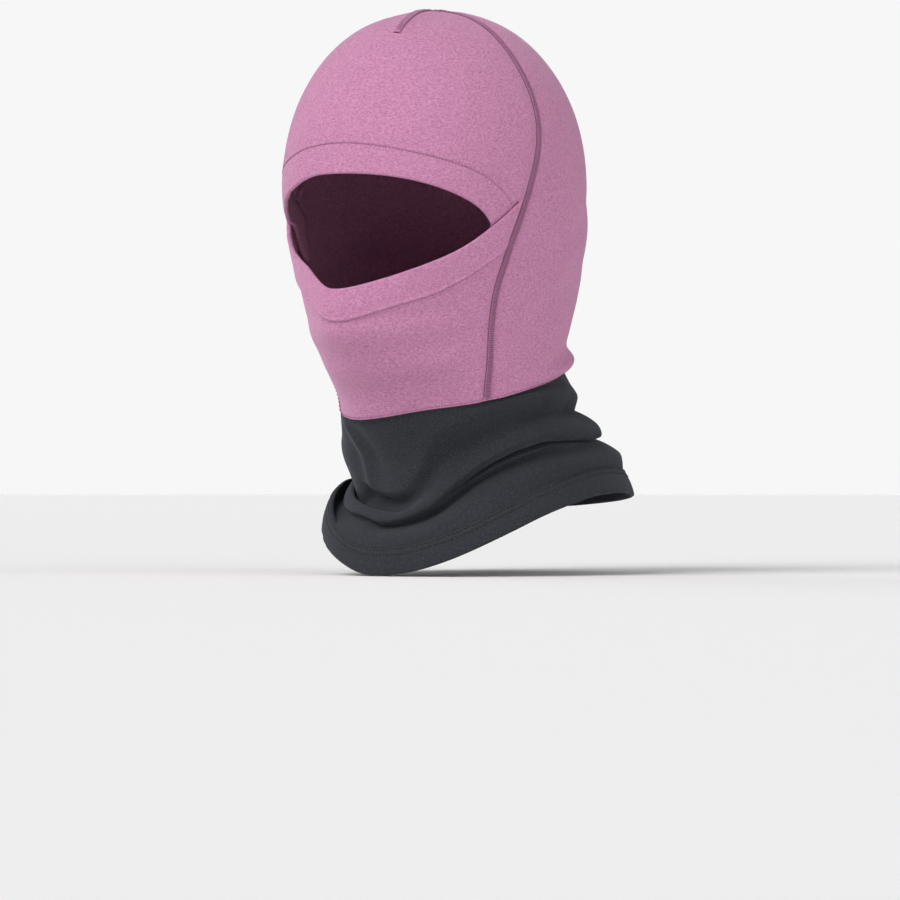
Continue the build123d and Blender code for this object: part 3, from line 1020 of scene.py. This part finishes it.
arch_bed, arch_thread = flatlock("arch_seam_thread", arch_line(), 2.1)
BACK_COLUMN = COLUMNS // 2
back_middle = HOOD[:, BACK_COLUMN][ABOVE_NECK[:, BACK_COLUMN] > 0]
back_bed, back_thread = flatlock("centre_back_seam_thread", resampled(back_middle, MM), 1.7)
dart_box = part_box("crown_dart_seam")
front_middle = HOOD[:, round(math.atan(DART_LEAN) / (2 * math.pi) * COLUMNS)]
front_middle = front_middle[(front_middle[:, 1] > dart_box[0].y - DART_SLIP)
                            & (front_middle[:, 1] < seam_y(dart_box[1].z) - MM) & (front_middle[:, 2] > 0)]
dart_bed, dart_thread = flatlock("crown_dart_seam_thread", resampled(front_middle, MM), 1.6)

tack = Stitches()
tack_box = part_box("crown_dart_tack")
tack_y = (tack_box[0].y + tack_box[1].y) / 2 - DART_SLIP
TACK_THREADS, TACK_PITCH = 9, 0.33 * MM
for i in range(TACK_THREADS):
    y = tack_y + (i - TACK_THREADS // 2) * TACK_PITCH
    path = []
    for t, lift in ((-1, 0.1), (-0.6, 0.75), (0, 0.95), (0.6, 0.75), (1, 0.1)):
        seat, up = on_hood((t * 2.3 * MM - y * DART_LEAN, y + 0.25 * MM * t, tack_box[1].z - 5 * MM))
        path.append(seat + up * lift * MM)
    tack.thread(path, 0.32 * MM)
tack_thread = tack.made("crown_dart_tack_thread", HOOD_THREAD)

forehead_stitches = Stitches()
visible = np.array([p for p in FOREHEAD_STITCH if p[2] > mask_top(p) + 1.0 * MM])
lower = np.array([p for p in FOREHEAD_STITCH if p[2] > mask_top(p) + 4.0 * MM])
for across, line, thick in ((-0.3, visible, 0.16), (-4.0, lower, 0.25)):
    forehead_stitches.dashes(line, across * MM, 1.8 * MM, 1.0 * MM, thick * MM, -0.08 * MM, on_hood, bow=0.16 * MM)
forehead_thread = forehead_stitches.made("forehead_hem_stitching_thread", HEM_THREAD)

mask_stitches = Stitches()
mask_stitches.dashes(MASK_STITCH, -0.1 * MM, 2.0 * MM, 1.3 * MM, 0.24 * MM, 0.16 * MM, on_hood, slant=0.3,
                     bow=0.2 * MM)
mask_thread = mask_stitches.made("mask_hem_stitching_thread", FINE_THREAD)

neck_stitches = Stitches()
NECK_ROUND = np.array([p for p in crossings(neck_height(RAW)) if p is not None])
neck_stitches.dashes(NECK_ROUND, 1.1 * MM, 1.5 * MM, 1.0 * MM, 0.17 * MM, -0.03 * MM, on_hood, slant=0.9, closed=True,
                     bow=0.12 * MM)
neck_thread = neck_stitches.made("neck_seam_thread", NECK_THREAD)

# ---------------- the gaiter's pieces

tube = cut_panel("gaiter_tube_knit", TUBE, [np.ones(TUBE.shape[:2])], GAITER_KNIT)
thickened(tube, 1.1 * MM)
HEM_RINGS = gaiter_hem_rings()
points, faces = lofted(HEM_RINGS, closed_line=True)
gaiter_hem = mesh_object("gaiter_hem_knit", points, faces, GAITER_KNIT)
HEM_TREE = BVHTree.FromPolygons([Vector(p) for p in points], faces)


def on_hem(point):
    place, normal, _, _ = HEM_TREE.find_nearest(Vector(point))
    return np.array(place), np.array(normal)


hem_stitches = Stitches()
for row in (3, 10):  # the bottoms of the hem's two grooves
    hem_stitches.dashes(HEM_RINGS[:, row], 0.0, 2.3 * MM, 1.6 * MM, 0.25 * MM, 0.10 * MM, on_hem, closed=True,
                        bow=0.2 * MM)
hem_thread = hem_stitches.made("gaiter_hem_stitching_thread", GAITER_THREAD)

BACK = GAITER_COLUMNS // 2
GAITER_SEAM_PROFILE = ((-1, -0.4), (-0.9, 0.35), (-0.4, 0.6), (0.4, 0.6), (0.9, 0.35), (1, -0.4))
seam_rings = []
for r in range(6, TUBE.shape[0] - 2):
    beside = TUBE[r, BACK + 1] - TUBE[r, BACK - 1]
    beside /= np.linalg.norm(beside)
    seam_rings.append([TUBE[r, BACK] + beside * across * 1.6 * MM + TUBE_NORMALS[r, BACK] * lift * MM
                       for across, lift in GAITER_SEAM_PROFILE])
gaiter_seam = mesh_object("gaiter_back_seam_thread", *lofted(seam_rings), GAITER_THREAD)

# ---------------- the care label

label_low, label_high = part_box("care_label")
half_width = (label_high.x - label_low.x) / 2
shares = np.linspace(-1, 1, 9)
label_rings = []
for t in np.linspace(0, 1, 24):
    height = label_high.z + (label_low.z - label_high.z) * t
    y = label_low.y - (0.9 * MM * math.sin(t * math.pi) + 1.2 * MM * t * t)  # it curls a little
    thick = (label_high.y - label_low.y) * (1.6 if t < 0.06 else 1.0)  # its sewn edge is folded
    loop = [(share, 0) for share in shares] + [(share, thick) for share in shares[::-1]]
    label_rings.append([(share * half_width, y + 0.6 * MM * share ** 2 + depth, height) for share, depth in loop])
label = mesh_object("care_label_ribbon", *lofted(label_rings), ribbon_material())

# ---------------- bodies: the CAD parts hidden, and the new pieces attached to bodies or baked in place

for piece, nodes, slot in (
    (crown, ["crown_panel"], "hood_knit"), (forehead_hem, ["forehead_hem"], "hood_knit"),
    (back_left, ["back_panel_left"], "hood_knit"), (back_right, ["back_panel_right"], "hood_knit"),
    (arch_bed, ["arch_seam"], "hood_thread"), (arch_thread, ["arch_seam"], "hood_thread"),
    (back_bed, ["centre_back_seam"], "hood_thread"), (back_thread, ["centre_back_seam"], "hood_thread"),
    (dart_bed, ["crown_dart_seam"], "hood_thread"), (dart_thread, ["crown_dart_seam"], "hood_thread"),
    (tack_thread, ["crown_dart_tack"], "hood_thread"), (forehead_thread, ["forehead_hem_stitching"], "hood_thread"),
    (neck_thread, ["neck_seam"], "hood_thread"),
):
    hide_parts(*nodes)
    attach(piece, "hood")

for piece, nodes, slot in (
    (mask, ["mask_panel"], "hood_knit"), (mask_hem, ["mask_hem"], "hood_knit"),
    (mask_thread, ["mask_hem_stitching"], "hood_thread"),
):
    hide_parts(*nodes)
    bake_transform(piece)

for piece, nodes, slot in ((tube, ["gaiter_tube"], "gaiter_knit"),
                           (gaiter_seam, ["gaiter_back_seam"], "gaiter_thread")):
    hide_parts(*nodes)
    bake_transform(piece)
for piece, nodes, slot in ((gaiter_hem, ["gaiter_hem"], "gaiter_knit"),
                           (hem_thread, ["gaiter_hem_stitching"], "gaiter_thread")):
    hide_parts(*nodes)
    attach(piece, "collar")
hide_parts("care_label")
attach(label, "label")

# ---------------- floor, light and camera

lowest = min(min((v.co.z for v in piece.data.vertices)) for piece in (gaiter_hem, tube))
FLOOR_HALF, FLOOR_GAP = 6.0, 0.4 * MM
floor_material, floor_nodes, floor_links, floor_shader = node_material("floor")
floor_noise = floor_nodes.new("ShaderNodeTexNoise")
floor_noise.inputs["Scale"].default_value = 3
floor_colour = ramp_between(floor_nodes, floor_links, floor_noise.outputs["Fac"], (0.96, 0.96, 0.965),
                            (0.98, 0.98, 0.98))
floor_links.new(floor_colour, floor_shader.inputs["Base Color"])
floor_shader.inputs["Roughness"].default_value = 0.9
floor_shader.inputs["Specular IOR Level"].default_value = 0.1
floor_corners = [(x * FLOOR_HALF, y * FLOOR_HALF, lowest - FLOOR_GAP) for x, y in ((-1, -1), (1, -1), (1, 1), (-1, 1))]
floor = mesh_object("floor", floor_corners, [(0, 1, 2, 3)], floor_material)

# the backdrop is a plain pale dome all round, which neither shades nor lights the object
DOME_RADIUS, DOME_RINGS, DOME_SIDES = 5.5, 12, 32
ALMOST_UP = math.pi / 2 - 0.01
dome_rings = [[(math.cos(e) * math.cos(a), math.cos(e) * math.sin(a), math.sin(e))
               for a in np.arange(DOME_SIDES) * 2 * math.pi / DOME_SIDES]
              for e in np.linspace(-ALMOST_UP, ALMOST_UP, DOME_RINGS)]
dome_material = bpy.data.materials.new("backdrop")
dome_material.use_nodes = True
dome_nodes = dome_material.node_tree.nodes
dome_nodes.remove(dome_nodes["Principled BSDF"])
glow = dome_nodes.new("ShaderNodeEmission")
glow.inputs["Color"].default_value = (0.93, 0.93, 0.935, 1)
dome_material.node_tree.links.new(glow.outputs["Emission"], dome_nodes["Material Output"].inputs["Surface"])
dome = mesh_object("backdrop", *lofted(np.array(dome_rings) * DOME_RADIUS), dome_material)
dome.visible_diffuse = dome.visible_glossy = dome.visible_shadow = dome.visible_transmission = False

world = bpy.context.scene.world or bpy.data.worlds.new("world")
bpy.context.scene.world = world
world.use_nodes = True
background = world.node_tree.nodes["Background"]
background.inputs["Color"].default_value = (1.0, 1.0, 1.0, 1)
background.inputs["Strength"].default_value = 0.30

VIEW_TURN = math.radians(33)  # the camera stands this far round from the front, to the wearer's left
TOWARDS_CAMERA = Vector((math.sin(VIEW_TURN), -math.cos(VIEW_TURN), 0))
RIGHT = Vector((math.cos(VIEW_TURN), math.sin(VIEW_TURN), 0))


def soft_sun(name, right, towards, up, spread, strength):
    """A large soft box far away, given by the direction it shines from."""
    data = bpy.data.lights.new(name, "SUN")
    data.angle, data.energy = math.radians(spread), strength
    light = bpy.data.objects.new(name, data)
    direction = RIGHT * right + TOWARDS_CAMERA * towards + Vector((0, 0, up))
    light.location = direction.normalized() * 2
    light.rotation_euler = direction.to_track_quat("Z", "Y").to_euler()
    bpy.context.scene.collection.objects.link(light)


soft_sun("key", -0.75, 0.75, 0.95, 38, 2.1)
soft_sun("rim", -0.9, -0.8, 0.5, 50, 0.5)
soft_sun("fill", 0.85, 0.7, 0.30, 70, 0.95)

CAMERA_DISTANCE = 3.0
CAMERA_ASIDE, CAMERA_HEIGHT = 7.7 * MM, -0.1374
camera_data = bpy.data.cameras.new("camera")
camera_data.lens = 225.6
camera_data.sensor_width = 36
camera_data.clip_end = 50
camera = bpy.data.objects.new("camera", camera_data)
camera.location = TOWARDS_CAMERA * CAMERA_DISTANCE + RIGHT * CAMERA_ASIDE + Vector((0, 0, CAMERA_HEIGHT))
camera.rotation_euler = (-TOWARDS_CAMERA).to_track_quat("-Z", "Y").to_euler()
bpy.context.scene.collection.objects.link(camera)
bpy.context.scene.camera = camera
bpy.context.scene.view_settings.view_transform = "Standard"
